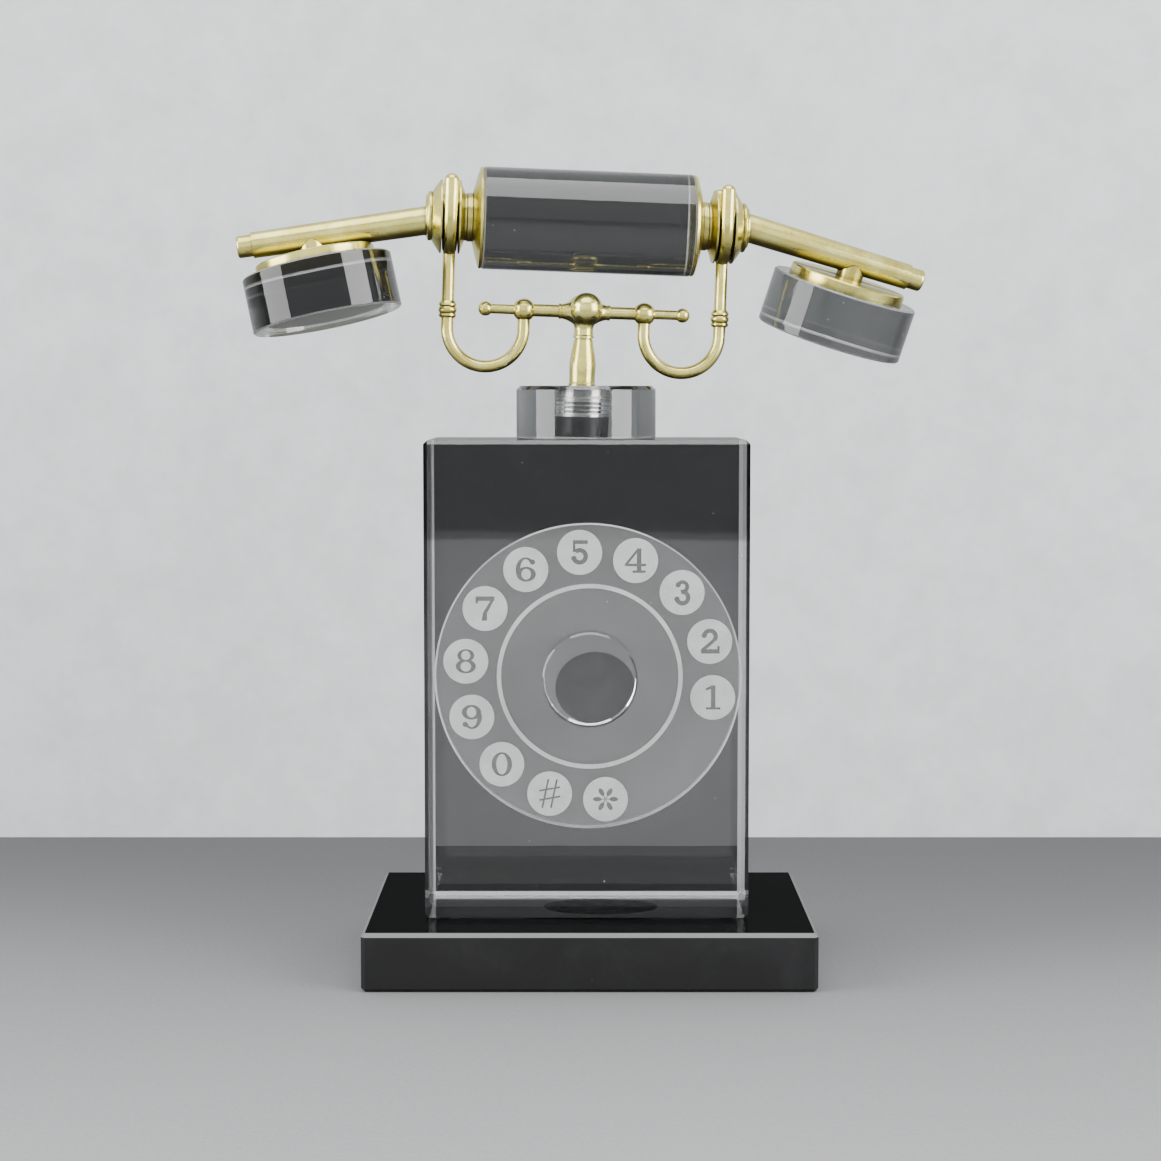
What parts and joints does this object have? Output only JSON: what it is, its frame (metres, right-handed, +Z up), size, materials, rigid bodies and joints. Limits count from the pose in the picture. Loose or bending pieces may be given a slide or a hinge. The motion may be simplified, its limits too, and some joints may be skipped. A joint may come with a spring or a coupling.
{
  "type": "novelty shaped telephone",
  "caption": "Desk ornament shaped like an upright telephone: smoky glass block with a round dial on a black plinth, and a brass cradle holding a lift-off glass and brass handset.",
  "frame": {"origin": "centre of the plinth's flat underside", "axes": "+Z up, the dial faces -Y, +X to the right seen from the front"},
  "size_m": [0.1804, 0.08, 0.2089],
  "materials": {
    "smoky_crystal": "polished smoky grey crystal glass",
    "black_glass": "polished opaque black glass",
    "frosted_print": "frosted pale grey print",
    "adhesive": "cured adhesive, dark where it wets the glass",
    "steel": "plain turned steel",
    "antique_brass": "pale antique brass, rubbed bright on the crowns and dark in the grooves"
  },
  "bodies": {
    "base": {"plinth": "black_glass", "block_bond": "adhesive", "body_block": "smoky_crystal", "dial_disc": "smoky_crystal", "dial_ring": "frosted_print", "dial_spots": "frosted_print", "knob_bond": "adhesive", "dial_knob": "smoky_crystal", "collar": "smoky_crystal", "bush_bond": "adhesive", "stem_bush": "steel", "stem": "antique_brass"},
    "cradle": {"hub": "antique_brass", "hub_stud": "steel", "front_finial": "antique_brass", "rear_finial": "antique_brass", "left_arm_rod": "antique_brass", "left_arm_ball": "antique_brass", "left_stub": "antique_brass", "left_hook": "antique_brass", "left_ferrule": "antique_brass", "left_fork": "antique_brass", "right_arm_rod": "antique_brass", "right_arm_ball": "antique_brass", "right_stub": "antique_brass", "right_hook": "antique_brass", "right_ferrule": "antique_brass", "right_fork": "antique_brass"},
    "handset": {"barrel": "smoky_crystal", "earpiece_end_cap": "antique_brass", "earpiece_washer": "antique_brass", "earpiece_handset_stud": "steel", "mouthpiece_end_cap": "antique_brass", "mouthpiece_washer": "antique_brass", "mouthpiece_handset_stud": "steel"},
    "earpiece_side": {"earpiece_neck": "antique_brass", "earpiece_arm": "antique_brass", "earpiece_arm_plug": "antique_brass", "earpiece_boss": "antique_brass", "earpiece_plate": "antique_brass", "earpiece_cup": "smoky_crystal"},
    "mouthpiece_side": {"mouthpiece_neck": "antique_brass", "mouthpiece_arm": "antique_brass", "mouthpiece_arm_plug": "antique_brass", "mouthpiece_boss": "antique_brass", "mouthpiece_plate": "antique_brass", "mouthpiece_cup": "smoky_crystal"}
  },
  "joints": [
    {"name": "cradle_swivel", "type": "hinge", "parent": "base", "child": "cradle", "pos_m": [-0.00154, 0, 0.16444], "axis": [0.0332, 0, 0.9995], "range_deg": [-90, 90]},
    {"name": "handset_lift", "type": "slide", "parent": "cradle", "child": "handset", "axis": [0.0332, 0, 0.9995], "range_m": [0, 0.04]},
    {"name": "earpiece_turn", "type": "hinge", "parent": "handset", "child": "earpiece_side", "pos_m": [-0.0362, -0.00281, 0.19596], "axis": [0.9964, 0.0785, -0.0331], "range_deg": [-30, 30]},
    {"name": "mouthpiece_turn", "type": "hinge", "parent": "handset", "child": "mouthpiece_side", "pos_m": [0.03514, 0.00281, 0.19359], "axis": [0.9964, 0.0785, -0.0331], "range_deg": [-30, 30]}
  ]
}
